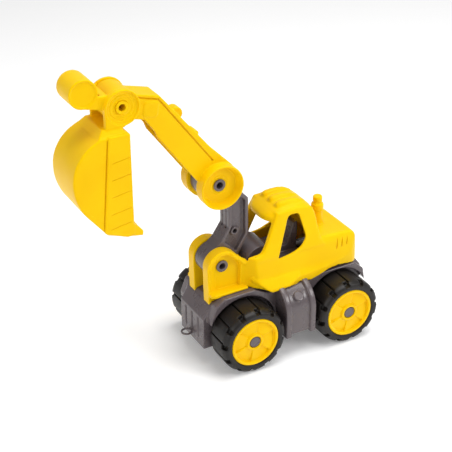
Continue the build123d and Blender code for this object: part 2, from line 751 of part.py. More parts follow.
with BuildPart() as bucket:
    with BuildSketch(side_plane(0)):
        with BuildLine():
            Polyline((190.0, 175.0), (171.0, 169.0), (164.0, 171.0), (164.0, 270.0), (189.0, 270.0))
            ThreePointArc((189.0, 270.0), (213.3, 252.8), (219.5, 229.0))
            ThreePointArc((219.5, 229.0), (216.6, 213.0), (209.0, 198.5))
            Line((209.0, 198.5), (190.0, 175.0))
        make_face()
    extrude(amount=bucket_half, both=True)
    # raised edge strips on both sides
    with BuildSketch(side_plane(0)):
        with BuildLine():
            Polyline((164.0, 171.0), (164.0, 270.6), (184.8, 270.8), (192.5, 177.5), (171.0, 169.0),
                     close=True)
        make_face()
    extrude(amount=bucket_rim_half, both=True)
    # raised saddle under the ears
    with BuildSketch(level(268.0)):
        with Locations((181.5, 0.0)):
            Rectangle(37.0, 50.0)
    with BuildSketch(level(saddle_z)):
        with Locations((179.2, 0.0)):
            Rectangle(16.4, 38.0)
    loft()
    # hollow scoop, open to the rear
    with BuildSketch(side_plane(0)):
        with BuildLine():
            Polyline((188.5, 177.5), (172.0, 172.2), (150.0, 174.5), (150.0, 265.4), (189.0, 265.4))
            ThreePointArc((189.0, 265.4), (211.2, 250.5), (216.9, 229.0))
            ThreePointArc((216.9, 229.0), (214.2, 214.0), (207.0, 200.0))
            Line((207.0, 200.0), (188.5, 177.5))
        make_face()
    extrude(amount=bucket_half - wall, both=True, mode=Mode.SUBTRACT)
    # four teeth along the lip
    for tooth_y in (-21.0, -7.0, 7.0, 21.0):
        with BuildSketch(side_plane(0, y=tooth_y)):
            with BuildLine():
                Polyline((172.0, 169.2), (164.0, 181.0), (160.0, 177.0), (154.8, 171.0), (155.2, 166.4),
                         close=True)
            make_face()
        extrude(amount=4.6, both=True)
    with BuildSketch(level(264.0)):
        with Locations((181.5, 0.0)):
            Rectangle(28.0, 42.0)
    with BuildSketch(level(saddle_z - wall)):
        with Locations((179.2, 0.0)):
            Rectangle(10.0, 32.0)
    loft(mode=Mode.SUBTRACT)
    # pivot ears
    for side, turn in sides.items():
        with BuildSketch(side_plane(tip_x, tip_z, y=ear_gap_y * turn)):
            Circle(bucket_ear_r)
            with BuildLine():
                Polyline((16.9, 1.0), (16.9, -18.0), (-1.0, -18.0), (-6.0, 0.0), close=True)
            make_face()
        extrude(amount=-bucket_ear_t[side] * turn)
    with BuildSketch(side_plane(tip_x, tip_z, y=ear_gap_y + bucket_ear_t["left"])):
        Circle(bucket_ear_recess_r)
    extrude(amount=3.0, mode=Mode.SUBTRACT)
    # neck that carries the grip, open from above
    with BuildSketch(side_plane(tip_x, tip_z)):
        with BuildLine():
            Polyline((8.0, -3.0), (33.5, 3.4), (33.5, 16.0), (24.0, 12.6), (8.0, 12.6), close=True)
        make_face()
    extrude(amount=15.0, both=True)
    with BuildSketch(level(295.0)):
        with Locations((191.6, 0.0)):
            Rectangle(13.6, 22.0)
    extrude(amount=16.0, mode=Mode.SUBTRACT)
    with BuildSketch(side_plane(tip_x, tip_z)):
        Circle(barrel_gap_r)
    extrude(amount=ear_gap_y, both=True, mode=Mode.SUBTRACT)
    # round hand grip with recessed ends
    with BuildSketch(side_plane(200.7, 309.5)):
        Circle(grip_r)
    extrude(amount=grip_half, both=True)
    for turn in sides.values():
        with BuildSketch(side_plane(200.7, 309.5, y=grip_half * turn)):
            Circle(grip_r - 1.6)
        extrude(amount=1.6 * turn, mode=Mode.SUBTRACT)
    with BuildSketch(side_plane(tip_x, tip_z)):
        Circle(pin_r)
    extrude(amount=30.0, both=True, mode=Mode.SUBTRACT)
save(bucket.part, "bucket")
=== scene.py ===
"""Push-along sandbox excavator toy, dressed and lit around its CAD frame.

Outlines are written in millimetres from the middle of the wheelbase, or from a pin's axis where a
class says so: x forward, y to the toy's left, z up. Finished pieces are placed in metres.
"""
from __future__ import annotations

import json
import logging
import math
from dataclasses import dataclass, field
from enum import Enum

import bmesh
import bpy
from mathutils import Matrix, Vector

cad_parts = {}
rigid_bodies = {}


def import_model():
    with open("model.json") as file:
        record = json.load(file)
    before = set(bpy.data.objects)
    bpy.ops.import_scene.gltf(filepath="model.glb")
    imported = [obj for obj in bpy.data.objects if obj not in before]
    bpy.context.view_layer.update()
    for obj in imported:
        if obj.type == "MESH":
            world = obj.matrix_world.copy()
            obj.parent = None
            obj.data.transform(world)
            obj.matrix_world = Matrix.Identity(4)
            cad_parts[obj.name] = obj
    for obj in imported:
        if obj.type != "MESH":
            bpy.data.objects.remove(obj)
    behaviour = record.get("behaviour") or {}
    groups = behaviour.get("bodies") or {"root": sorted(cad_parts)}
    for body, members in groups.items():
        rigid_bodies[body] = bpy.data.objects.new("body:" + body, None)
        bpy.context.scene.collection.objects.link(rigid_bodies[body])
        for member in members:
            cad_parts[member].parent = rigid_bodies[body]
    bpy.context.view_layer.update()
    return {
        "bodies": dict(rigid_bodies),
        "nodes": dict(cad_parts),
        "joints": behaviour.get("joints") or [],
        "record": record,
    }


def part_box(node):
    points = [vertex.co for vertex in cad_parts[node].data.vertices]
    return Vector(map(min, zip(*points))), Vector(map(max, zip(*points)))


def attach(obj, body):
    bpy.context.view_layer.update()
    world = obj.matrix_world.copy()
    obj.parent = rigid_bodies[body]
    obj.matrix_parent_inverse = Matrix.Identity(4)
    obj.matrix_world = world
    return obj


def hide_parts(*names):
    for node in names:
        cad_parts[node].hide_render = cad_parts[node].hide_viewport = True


Outline = list[tuple[float, float]]
MM = 0.001
log = logging.getLogger("excavator")


# ---------------------------------------------------------------- outlines
class View(Enum):
    """The side that an outline is drawn from; its thickness runs towards the viewer."""

    SIDE = "side"
    FRONT = "front"
    PLAN = "plan"

    def place(self, u: float, v: float, depth: float) -> Vector:
        """Point of an outline as x, y, z.

        Args:
            u: First coordinate: x seen from the side or above, y seen from the front.
            v: Second coordinate: z seen from the side or the front, y seen from above.
            depth: Coordinate along the line of sight.
        Returns:
            The point in the space that the blocks are built in.
        """
        if self is View.SIDE:
            return Vector((u, depth, v))
        if self is View.FRONT:
            return Vector((depth, u, v))
        return Vector((u, v, depth))


def circle(centre: tuple[float, float], radius: float, steps: int = 64) -> Outline:
    """Round outline.

    Args:
        centre: Middle of the circle.
        radius: Its radius.
        steps: Number of points.
    Returns:
        Points once round.
    """
    return arc(centre, radius, 0.0, 360.0 * (steps - 1) / steps, steps)


def arc(centre: tuple[float, float], radius: float, start: float, end: float, steps: int = 12) -> Outline:
    """Points along an arc.

    Args:
        centre: Middle of the arc.
        radius: Its radius.
        start: Angle of its first point in degrees.
        end: Angle of its last point in degrees.
        steps: Number of points.
    Returns:
        The points, first and last included.
    """
    angles = [math.radians(start + (end - start) * i / (steps - 1)) for i in range(steps)]
    return [(centre[0] + radius * math.cos(a), centre[1] + radius * math.sin(a)) for a in angles]


def rounded(outline: Outline, radius: float, steps: int = 5) -> Outline:
    """Outline whose corners are replaced by curves.

    Args:
        outline: Corner points of a closed outline.
        radius: Distance from a corner to where its curve starts, if both sides have room.
        steps: Points on each curve.
    Returns:
        The rounded outline.
    """
    made: Outline = []
    for i, point in enumerate(outline):
        corner = Vector(point)
        before, after = Vector(outline[i - 1]), Vector(outline[(i + 1) % len(outline)])
        reach = min(radius, (before - corner).length * 0.45, (after - corner).length * 0.45)
        start = corner + (before - corner).normalized() * reach
        end = corner + (after - corner).normalized() * reach
        for k in range(steps):
            t = k / (steps - 1)
            p = start * (1 - t) ** 2 + corner * (2 * t * (1 - t)) + end * t ** 2
            made.append((p.x, p.y))
    return made


def mirrored(half: Outline) -> Outline:
    """Closed outline made of a half at positive second coordinate and its mirror image."""
    return half + [(u, -v) for u, v in reversed(half)]


# ---------------------------------------------------------------- blocks
def as_object(name: str, shape: bmesh.types.BMesh) -> bpy.types.Object:
    """Turns a bmesh into a linked object with outward normals.

    Args:
        name: Name of the object and its mesh.
        shape: The closed surface; it is freed.
    Returns:
        The new object.
    """
    bmesh.ops.recalc_face_normals(shape, faces=shape.faces)
    mesh = bpy.data.meshes.new(name)
    shape.to_mesh(mesh)
    shape.free()
    made = bpy.data.objects.new(name, mesh)
    bpy.context.scene.collection.objects.link(made)
    return made


def prism(outline: Outline, near: float, far: float, view: View = View.SIDE) -> bpy.types.Object:
    """Block with a constant outline.

    Args:
        outline: Points once round.
        near: Depth of its first face.
        far: Depth of its second face.
        view: Side that the outline is drawn from.
    Returns:
        The block.
    """
    shape = bmesh.new()
    ends = [[shape.verts.new(view.place(u, v, depth)) for u, v in outline] for depth in (near, far)]
    for end in ends:
        shape.faces.new(end)
    count = len(outline)
    for i in range(count):
        j = (i + 1) % count
        shape.faces.new((ends[0][i], ends[0][j], ends[1][j], ends[1][i]))
    return as_object("block", shape)


def loft(sections: list[list[Vector]]) -> bpy.types.Object:
    """Closed skin over sections that have the same number of points.

    Args:
        sections: Rings of points, from one end of the form to the other.
    Returns:
        The block.
    """
    shape = bmesh.new()
    rings = [[shape.verts.new(p) for p in section] for section in sections]
    shape.faces.new(rings[0])
    shape.faces.new(rings[-1])
    for first, second in zip(rings, rings[1:]):
        for i in range(len(first)):
            j = (i + 1) % len(first)
            shape.faces.new((first[i], first[j], second[j], second[i]))
    return as_object("block", shape)


def lathe(profile: Outline, centre: Vector, axis: View, steps: int = 96) -> bpy.types.Object:
    """Turned block.

    Args:
        profile: Points (radius, height along the axis); a radius of zero closes an end.
        centre: Point on the axis that heights are measured from.
        axis: View along whose line of sight the axis runs.
        steps: Facets round the axis.
    Returns:
        The block.
    """
    shape = bmesh.new()
    rings = []
    for radius, height in profile:
        if radius <= 0.0:
            rings.append([shape.verts.new(centre + axis.place(0.0, 0.0, height))] * steps)
        else:
            rings.append([shape.verts.new(centre + axis.place(u, v, height))
                          for u, v in circle((0.0, 0.0), radius, steps)])
    for a, b in zip(rings, rings[1:] + rings[:1]):
        for i in range(steps):
            j = (i + 1) % steps
            corners = list(dict.fromkeys((a[i], a[j], b[j], b[i])))
            if len(corners) > 2:
                shape.faces.new(corners)
    return as_object("block", shape)


def rod(profile_radius: float, centre: Vector, near: float, far: float,
        axis: View = View.SIDE) -> bpy.types.Object:
    """Straight round block.

    Args:
        profile_radius: Its radius.
        centre: Point on its axis.
        near: Its first end, from the centre.
        far: Its second end, from the centre.
        axis: View along whose line of sight it runs.
    Returns:
        The block.
    """
    return lathe([(0.0, near), (profile_radius, near), (profile_radius, far), (0.0, far)], centre, axis)


def stripe(start: tuple[float, float], end: tuple[float, float], width: float, near: float,
           far: float) -> bpy.types.Object:
    """Thin straight block seen from the side.

    Args:
        start: Its first end.
        end: Its second end.
        width: Its width.
        near: Depth of its first face.
        far: Depth of its second face.
    Returns:
        The block.
    """
    run = (Vector(end) - Vector(start)).normalized()
    across = Vector((-run.y, run.x)) * width / 2
    corners = [Vector(start) - across, Vector(end) - across, Vector(end) + across, Vector(start) + across]
    return prism([(c.x, c.y) for c in corners], near, far)


class Moulding:
    """A plastic piece built from blocks in millimetres, then melted so that its edges are soft."""

    def __init__(self, name: str, first: bpy.types.Object) -> None:
        """Starts a moulding.

        Args:
            name: Name of the finished piece.
            first: Its first block.
        """
        self.body = first
        self.body.name = name

    @classmethod
    def of_node(cls, name: str, node: bpy.types.Object, middle: Vector) -> "Moulding":
        """Starts a moulding from a CAD node's own form.

        Args:
            name: Name of the finished piece.
            node: The node.
            middle: Where the outlines' origin is, in metres.
        Returns:
            The moulding.
        """
        shape = bmesh.new()
        shape.from_mesh(node.data)
        shape.transform(Matrix.Scale(1.0 / MM, 4) @ Matrix.Translation(-middle))
        bmesh.ops.remove_doubles(shape, verts=shape.verts, dist=0.001)
        return cls(name, as_object(name, shape))

    def _apply(self) -> None:
        """Makes the modifiers on the body part of its mesh."""
        ready = self.body.evaluated_get(bpy.context.evaluated_depsgraph_get())
        mesh = bpy.data.meshes.new_from_object(ready)
        self.body.modifiers.clear()
        self.body.data = mesh

    def _combine(self, block: bpy.types.Object, operation: str) -> "Moulding":
        """Joins, cuts or keeps with a block, which is used up."""
        step = self.body.modifiers.new(operation, "BOOLEAN")
        step.operation = operation
        step.solver = "MANIFOLD"
        step.object = block
        self._apply()
        bpy.data.objects.remove(block)
        return self

    def join(self, *blocks: bpy.types.Object) -> "Moulding":
        """Adds blocks."""
        for block in blocks:
            self._combine(block, "UNION")
        return self

    def cut(self, *blocks: bpy.types.Object) -> "Moulding":
        """Takes blocks away."""
        for block in blocks:
            self._combine(block, "DIFFERENCE")
        return self

    def keep(self, *blocks: bpy.types.Object) -> "Moulding":
        """Keeps what lies inside each block."""
        for block in blocks:
            self._combine(block, "INTERSECT")
        return self

    def melt(self, voxel: float, passes: int) -> "Moulding":
        """Rounds every edge a little.

        Args:
            voxel: Size of the new faces.
            passes: Smoothing passes; more passes give rounder edges.
        Returns:
            The moulding.
        """
        remesh = self.body.modifiers.new("remesh", "REMESH")
        remesh.mode = "VOXEL"
        remesh.voxel_size = voxel
        remesh.use_smooth_shade = True
        smooth = self.body.modifiers.new("smooth", "SMOOTH")
        smooth.factor = 0.5
        smooth.iterations = passes
        self._apply()
        return self

    def place(self, middle: Vector) -> bpy.types.Object:
        """Ends the building.

        Args:
            middle: Where the outlines' origin is, in metres.
        Returns:
            The piece, in metres.
        """
        self.body.data.transform(Matrix.Translation(middle) @ Matrix.Scale(MM, 4))
        return self.body


def soften(node: bpy.types.Object, voxel: float, passes: int) -> None:
    """Rounds the edges of a carried-over CAD node with modifiers.

    Args:
        node: The node.
        voxel: Size of the new faces in millimetres.
        passes: Smoothing passes.
    """
    weld = node.modifiers.new("weld", "WELD")
    weld.merge_threshold = 0.002 * MM
    remesh = node.modifiers.new("remesh", "REMESH")
    remesh.mode = "VOXEL"
    remesh.voxel_size = voxel * MM
    remesh.use_smooth_shade = True
    smooth = node.modifiers.new("smooth", "SMOOTH")
    smooth.factor = 0.5
    smooth.iterations = passes


# ---------------------------------------------------------------- finishes
@dataclass(frozen=True)
class PlasticFinish:
    """Moulded plastic: slow colour drift, fine grain, sink marks and slightly rubbed edges."""

    name: str
    slot: str
    colour: tuple[float, float, float]
    deep: tuple[float, float, float]
    rubbed: tuple[float, float, float]
    roughness: tuple[float, float]
    specular: float = 0.5
    specular_tint: tuple[float, float, float] = (1.0, 1.0, 1.0)
    glow_through: float = 0.0
    grain: float = 0.00002
    grain_scale: float = 1400.0
    waviness: float = 0.00025
    coat: float = 0.0

    def build(self) -> bpy.types.Material:
        """Makes the node material."""
        material = bpy.data.materials.new(self.name)
        material.use_nodes = True
        nodes, links = material.node_tree.nodes, material.node_tree.links
        shader = nodes["Principled BSDF"]
        shader.inputs["Specular IOR Level"].default_value = self.specular
        shader.inputs["Specular Tint"].default_value = (*self.specular_tint, 1.0)
        shader.inputs["Coat Weight"].default_value = self.coat
        shader.inputs["Coat Roughness"].default_value = 0.25
        shader.inputs["Subsurface Weight"].default_value = self.glow_through
        shader.inputs["Subsurface Radius"].default_value = (1.0, 0.45, 0.05)
        shader.inputs["Subsurface Scale"].default_value = 0.003
        place = nodes.new("ShaderNodeTexCoord")

        drift = noise(nodes, links, place, 22.0, 3.0)
        blend = nodes.new("ShaderNodeMix")
        blend.data_type = "RGBA"
        blend.inputs[6].default_value = (*self.colour, 1.0)
        blend.inputs[7].default_value = (*self.deep, 1.0)
        links.new(ramp(nodes, links, drift, 0.35, 0.7), blend.inputs[0])

        shape = nodes.new("ShaderNodeNewGeometry")
        patchy = noise(nodes, links, place, 260.0, 4.0)
        edge = ramp(nodes, links, shape.outputs["Pointiness"], 0.53, 0.60)
        worn = nodes.new("ShaderNodeMath")
        worn.operation = "MULTIPLY"
        links.new(edge, worn.inputs[0])
        links.new(ramp(nodes, links, patchy, 0.35, 0.65), worn.inputs[1])
        rub = nodes.new("ShaderNodeMix")
        rub.data_type = "RGBA"
        rub.inputs[7].default_value = (*self.rubbed, 1.0)
        links.new(blend.outputs[2], rub.inputs[6])
        links.new(worn.outputs[0], rub.inputs[0])
        links.new(rub.outputs[2], shader.inputs["Base Color"])

        gloss = nodes.new("ShaderNodeMapRange")
        gloss.inputs["To Min"].default_value = self.roughness[0]
        gloss.inputs["To Max"].default_value = self.roughness[1]
        links.new(noise(nodes, links, place, 75.0, 5.0), gloss.inputs["Value"])
        links.new(gloss.outputs["Result"], shader.inputs["Roughness"])

        wave = bump(nodes, links, noise(nodes, links, place, 55.0, 1.0), self.waviness, None)
        fine = bump(nodes, links, noise(nodes, links, place, self.grain_scale, 2.0), self.grain, wave)
        links.new(fine, shader.inputs["Normal"])
        return material


@dataclass(frozen=True)
class MetalFinish:
    """Bright steel with fine turning marks."""

    name: str
    slot: str
    colour: tuple[float, float, float]
    roughness: tuple[float, float]

    def build(self) -> bpy.types.Material:
        """Makes the node material."""
        material = bpy.data.materials.new(self.name)
        material.use_nodes = True
        nodes, links = material.node_tree.nodes, material.node_tree.links
        shader = nodes["Principled BSDF"]
        shader.inputs["Metallic"].default_value = 1.0
        shader.inputs["Base Color"].default_value = (*self.colour, 1.0)
        place = nodes.new("ShaderNodeTexCoord")
        marks = noise(nodes, links, place, 900.0, 3.0)
        gloss = nodes.new("ShaderNodeMapRange")
        gloss.inputs["To Min"].default_value = self.roughness[0]
        gloss.inputs["To Max"].default_value = self.roughness[1]
        links.new(marks, gloss.inputs["Value"])
        links.new(gloss.outputs["Result"], shader.inputs["Roughness"])
        links.new(bump(nodes, links, marks, 0.00001, None), shader.inputs["Normal"])
        return material


def noise(nodes: bpy.types.Nodes, links: bpy.types.NodeLinks, place: bpy.types.Node, scale: float,
          detail: float) -> bpy.types.NodeSocket:
    """Adds a noise texture over the object's own coordinates.

    Args:
        nodes: The material's nodes.
        links: The material's links.
        place: Its texture coordinates.
        scale: Waves per metre.
        detail: Octaves.
    Returns:
        The noise value's socket.
    """
    texture = nodes.new("ShaderNodeTexNoise")
    texture.inputs["Scale"].default_value = scale
    texture.inputs["Detail"].default_value = detail
    links.new(place.outputs["Object"], texture.inputs["Vector"])
    return texture.outputs["Fac"]


def ramp(nodes: bpy.types.Nodes, links: bpy.types.NodeLinks, value: bpy.types.NodeSocket, low: float,
         high: float) -> bpy.types.NodeSocket:
    """Adds a smooth step from zero at low to one at high.

    Args:
        nodes: The material's nodes.
        links: The material's links.
        value: The value to step.
        low: Where the step starts.
        high: Where it ends.
    Returns:
        The stepped value's socket.
    """
    step = nodes.new("ShaderNodeMapRange")
    step.interpolation_type = "SMOOTHSTEP"
    step.inputs["From Min"].default_value = low
    step.inputs["From Max"].default_value = high
    links.new(value, step.inputs["Value"])
    return step.outputs["Result"]


def bump(nodes: bpy.types.Nodes, links: bpy.types.NodeLinks, height: bpy.types.NodeSocket, depth: float,
         under: bpy.types.NodeSocket | None) -> bpy.types.NodeSocket:
    """Adds a bump.

    Args:
        nodes: The material's nodes.
        links: The material's links.
        height: The height's socket.
        depth: Height of a full step in metres.
        under: Normal of a bump that this one lies on.
    Returns:
        The normal's socket.
    """
    made = nodes.new("ShaderNodeBump")
    made.inputs["Strength"].default_value = 1.0
    made.inputs["Distance"].default_value = depth
    links.new(height, made.inputs["Height"])
    if under is not None:
        links.new(under, made.inputs["Normal"])
    return made.outputs["Normal"]


YELLOW = PlasticFinish("warm_yellow_plastic", "yellow_plastic", colour=(0.87, 0.545, 0.0012),
                       deep=(0.85, 0.51, 0.001), rubbed=(0.92, 0.61, 0.01), roughness=(0.36, 0.5),
                       specular=0.4, specular_tint=(1.0, 0.62, 0.08), glow_through=0.08)
GREY = PlasticFinish("dark_grey_plastic", "grey_plastic", colour=(0.108, 0.087, 0.093),
                     deep=(0.094, 0.076, 0.081), rubbed=(0.15, 0.13, 0.136), roughness=(0.22, 0.34),
                     specular=0.55)
TYRE = PlasticFinish("tyre_black", "tyre_black", colour=(0.0085, 0.0062, 0.005),
                     deep=(0.0065, 0.005, 0.004), rubbed=(0.016, 0.013, 0.011), roughness=(0.36, 0.5),
                     specular=0.34, grain=0.00004, grain_scale=900.0)
STEEL = MetalFinish("bright_steel", "steel", colour=(0.60, 0.59, 0.57), roughness=(0.25, 0.42))


class Finishes:
    """Builds each material once and dresses pieces in it."""

    def __init__(self) -> None:
        """Starts with nothing built."""
        self._built: dict[str, bpy.types.Material] = {}

    def dress(self, piece: bpy.types.Object, finish: PlasticFinish | MetalFinish) -> bpy.types.Object:
        """Gives a piece a finish.

        Args:
            piece: The piece or CAD node.
            finish: Its finish.
        Returns:
            The piece.
        """
        if finish.name not in self._built:
            self._built[finish.name] = finish.build()
        piece.data.materials.clear()
        piece.data.materials.append(self._built[finish.name])
        return piece


# ---------------------------------------------------------------- the frame's places
class Places:
    """Positions read from the CAD frame."""

    def __init__(self, frame: dict) -> None:
        """Reads the node table, which body each node rides on, and the wheelbase's middle.
        """
        self.nodes = frame["nodes"]
        self.bodies = {node: body for body, nodes in frame["record"]["behaviour"]["bodies"].items()
                       for node in nodes}
        front, rear = self.centre("front_axle"), self.centre("rear_axle")
        self.middle = Vector(((front.x + rear.x) / 2, 0.0, 0.0))

    def centre(self, node: str) -> Vector:
        """Middle of a node's box in metres."""
        low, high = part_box(node)
        return (low + high) / 2

    def local(self, node: str) -> Vector:
        """Middle of a node's box in millimetres from the wheelbase's middle."""
        return (self.centre(node) - self.middle) / MM

    def finish(self, moulding: Moulding, node: str, finishes: Finishes,
               look: PlasticFinish) -> bpy.types.Object:
        """Places a moulding that stands for a CAD node.

        Args:
            moulding: The built moulding.
            node: The node that it stands for.
            finishes: The materials.
            look: Its finish.
        Returns:
            The piece, riding on the node's body.
        """
        piece = moulding.place(self.middle)
        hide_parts(node)
        finishes.dress(piece, look)
        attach(piece, self.bodies[node])
        return piece


# ---------------------------------------------------------------- sub-assemblies
@dataclass
class BodyShell:
    """Yellow body: skirt, hood, cab with pillars and ridged roof, and the ears that carry the arm."""

    wall: float = 2.4
    ear_in: float = 9.6
    ear_out: float = 21.0
    ear_radius: float = 17.4
    flange_radius: float = 13.4
    skirt_out: float = 28.0
    skirt_z: tuple[float, float] = (76.0, 79.6)
    ledge_out: float = 38.2
    sill_z: float = 111.0
    louvre_width: float = 1.2
    louvre_floor: float = 30.4
    louvres: tuple[tuple[float, float], ...] = ((-55.0, 103.6), (-61.0, 104.4), (-67.0, 105.2))
    ridges: tuple[float, ...] = (-13.0, 0.0, 13.0)
    lip: tuple[tuple[float, float], ...] = ((-8.0, 15.0), (-15.0, 10.0), (-21.0, 4.2), (-26.5, 0.6),
                                            (-27.6, -2.0), (-22.0, -2.0), (-15.0, 4.6), (-8.0, 10.8))

    def roof(self, inset: float) -> bpy.types.Object:
        """Crowned roof that runs out into the visor.

        Args:
            inset: Distance that its surface is drawn in.
        Returns:
            The roof's block.
        """
        ridge = [(-31.5, 144.0, 19.0), (-29.0, 149.0, 22.0), (-22.0, 153.4, 24.0), (-12.0, 155.0, 24.8),
                 (-2.0, 154.8, 25.0), (6.0, 153.2, 24.4), (12.0, 150.8, 22.8), (16.5, 148.6, 20.4),
                 (20.0, 146.2, 15.0), (21.6, 144.2, 8.0)]
        sections = []
        for x, top, half in ridge:
            under = 138.5 + inset
            middle, height = (top - inset + under) / 2, (top - inset - under) / 2
            ring = []
            for angle in range(0, 360, 10):
                c, s = math.cos(math.radians(angle)), math.sin(math.radians(angle))
                y = math.copysign(abs(c) ** 0.55, c) * (half - inset)
                z = math.copysign(abs(s) ** 0.62, s) * height
                ring.append(Vector((x - math.copysign(min(inset, 1.0), x), y, middle + z)))
            sections.append(ring)
        return loft(sections)

    def hull(self, inset: float) -> Moulding:
        """Hood, cab and skirt as one solid.

        Args:
            inset: Distance that its walls are drawn in.
        Returns:
            The moulding.
        """
        i = inset
        hood = Moulding("hull", prism(rounded([
            (50.5 - i, 60.0), (50.5 - i, 107.5 - i), (48.0 - i, 110.8 - i), (28.0, 111.4 - i),
            (-37.0, 114.0 - i), (-42.0, 113.6 - i), (-74.0, 112.6 - i), (-77.8 + i, 108.0 - i),
            (-81.0 + i, 77.0), (-81.0 + i, 60.0)], 3.0), -45, 45))
        hood.keep(prism(rounded([
            (37.4 - i, 60.0), (37.3 - i, 77.0), (33.2 - i, 86.2), (31.0 - i, 107.0), (28.2 - i, 114.6 - i),
            (-28.2 + i, 114.6 - i), (-31.0 + i, 107.0), (-33.2 + i, 86.2), (-37.3 + i, 77.0),
            (-37.4 + i, 60.0)], 3.0), -100, 100, View.FRONT))
        foot = [(42.0 - i, 106.0), (41.0 - i, 110.6), (35.0 - i, 111.4), (30.6 - i, 113.4), (27.6 - i, 117.4),
                (25.4 - i, 121.6)]
        cab = Moulding("cab", prism(foot + [
            (15.5 - i, 142.0), (12.0, 151.0 - i), (-23.0, 151.0 - i), (-28.5 + i, 148.0), (-31.0 + i, 143.0),
            (-36.5 + i, 113.0), (-40.0 + i, 106.0)], -40, 40))
        cab.keep(prism([
            (32.6 - i, 98.0), (31.4 - i, 108.0), (24.0 - i, 151.0), (-24.0 + i, 151.0), (-31.4 + i, 108.0),
            (-32.6 + i, 98.0)], -100, 100, View.FRONT))
        hood.join(cab.body, self.roof(inset))
        return hood.keep(prism(rounded(mirrored([
            (55.0, 20.0 - i), (47.5, 21.5 - i), (44.0, 26.0 - i), (38.0, 33.0 - i), (27.0, 37.4 - i),
            (8.0, 36.8 - i), (-40.0, 35.2 - i), (-74.0, 32.6 - i), (-81.0 + i, 28.0 - i)]), 3.0),
            50, 170, View.PLAN))

    def ears(self, pin: Vector, side: int) -> tuple[bpy.types.Object, bpy.types.Object]:
        """One ear and the hollow in its outer face.

        Args:
            pin: Middle of the base pin.
            side: One for left, minus one for right.
        Returns:
            The ear's block and the hollow's block.
        """
        x, z = pin.x, pin.z
        front = x + self.ear_radius - 0.8
        outline = arc((x, z), self.ear_radius, 0.0, 116.0, 20)
        outline += [(x - 13.0, z + 12.0), (x - 19.0, z + 5.6), (x - 24.0, z - 2.0), (x - 24.0, z - 39.0),
                    (front, z - 39.0)]
        ear = Moulding("ear", prism(outline, self.ear_in * side, self.ear_out * side))
        hollow_outline = arc((x - 1.0, z - 0.6), self.flange_radius, 0.0, 118.0, 20)
        hollow_outline += [(x - 14.0, z + 5.0), (x - 18.5, z - 1.0), (x - 18.5, z - 25.4),
                           (front + 3.0, z - 25.4), (front + 3.0, z - 1.0)]
        hollow = Moulding("hollow", prism(hollow_outline, 12.0 * side, 24.0 * side))
        hollow.keep(prism([(front + 5.0, 21.2 * side), (front - 2.0, 20.8 * side), (x + 7.0, 17.0 * side),
                           (x - 40.0, 17.0 * side), (x - 40.0, 24.0 * side), (front + 5.0, 24.0 * side)],
                          50, 130, View.PLAN))
        return ear.body, hollow.body

    def build(self, places: Places, finishes: Finishes) -> bpy.types.Object:
        """Builds and dresses the body shell.

        Args:
            places: Positions from the frame.
            finishes: The materials.
        Returns:
            The piece.
        """
        pin = places.local("base_pin")
        pin.y = 0.0
        shell = self.hull(0.0)
        shell.melt(0.9, 10)
        shell.join(*[self.ridge(y) for y in self.ridges])
        shell.join(*[self.ledge(side) for side in (1, -1)])
        shell.melt(0.7, 6)
        inner = self.hull(self.wall)
        inner.join(prism(mirrored([(48.0, 19.0), (24.0, 34.4), (-76.0, 30.0)]), 50, 74, View.PLAN))
        shell.cut(inner.body)
        self.open_up(shell)
        for side in (1, -1):
            ear, hollow = self.ears(pin, side)
            shell.join(ear)
            shell.join(prism([(46.0, 10.0 * side), (86.0, 10.0 * side), (86.0, 25.5 * side),
                              (82.0, self.skirt_out * side), (46.0, self.skirt_out * side)],
                             *self.skirt_z, View.PLAN))
            shell.cut(hollow)
            shell.join(prism([(x + pin.x, z + pin.z) for x, z in self.lip], 16.0 * side, 23.6 * side))
        self.fit_chassis(shell, pin)
        shell.melt(0.55, 5)
        for x, z in self.louvres:
            for side in (1, -1):
                shell.cut(stripe((x + 0.5, z - 6.4), (x - 0.5, z + 6.4), self.louvre_width,
                                 self.louvre_floor * side, 38.0 * side))
        return places.finish(shell, "body_shell", finishes, YELLOW)

    def ridge(self, y: float) -> bpy.types.Object:
        """One of the rounded ridges that run along the roof.

        Args:
            y: Where it runs.
        Returns:
            The ridge's block.
        """
        sections = []
        for x, top, half in ((8.0, 153.0, 2.4), (7.2, 155.4, 3.6), (4.4, 157.2, 4.3), (-3.0, 158.0, 4.5),
                             (-11.0, 157.8, 4.4), (-18.0, 156.4, 3.8), (-25.0, 152.6, 2.4)):
            sections.append([Vector((x, y + u * half, 149.0 + max(0.0, v) * (top - 149.0)))
                             for u, v in [(1.0, 0.0), (0.96, 0.7), (0.7, 0.93), (0.0, 1.0), (-0.7, 0.93),
                                          (-0.96, 0.7), (-1.0, 0.0)]])
        return loft(sections)

    def ledge(self, side: int) -> bpy.types.Object:
        """Flared edge of the cab's side above the front wheel.

        Args:
            side: One for left, minus one for right.
        Returns:
            The ledge's block.
        """
        ledge = Moulding("ledge", prism([(44.5, 87.0), (42.0, 90.0), (22.0, 85.0), (4.0, 85.0), (-9.0, 85.0),
                                         (-9.0, 76.0), (2.0, 73.4), (24.0, 71.6), (30.0, 75.4)],
                                        20.0 * side, 44.0 * side))
        ledge.keep(prism([(y * side, z) for y, z in ((20.0, 66.0), (self.ledge_out + 1.2, 66.0),
                                                     (self.ledge_out + 1.0, 75.4), (34.2, 85.2), (30.0, 90.0),
                                                     (20.0, 90.0))], -20, 60, View.FRONT))
        ledge.keep(prism([(x, y * side) for x, y in ((46.0, 18.0), (44.0, 28.5), (36.0, 35.5), (25.0, 40.4),
                                                     (4.0, 39.2), (-10.0, 36.0), (-10.0, 18.0))],
                         60, 100, View.PLAN))
        return ledge.body

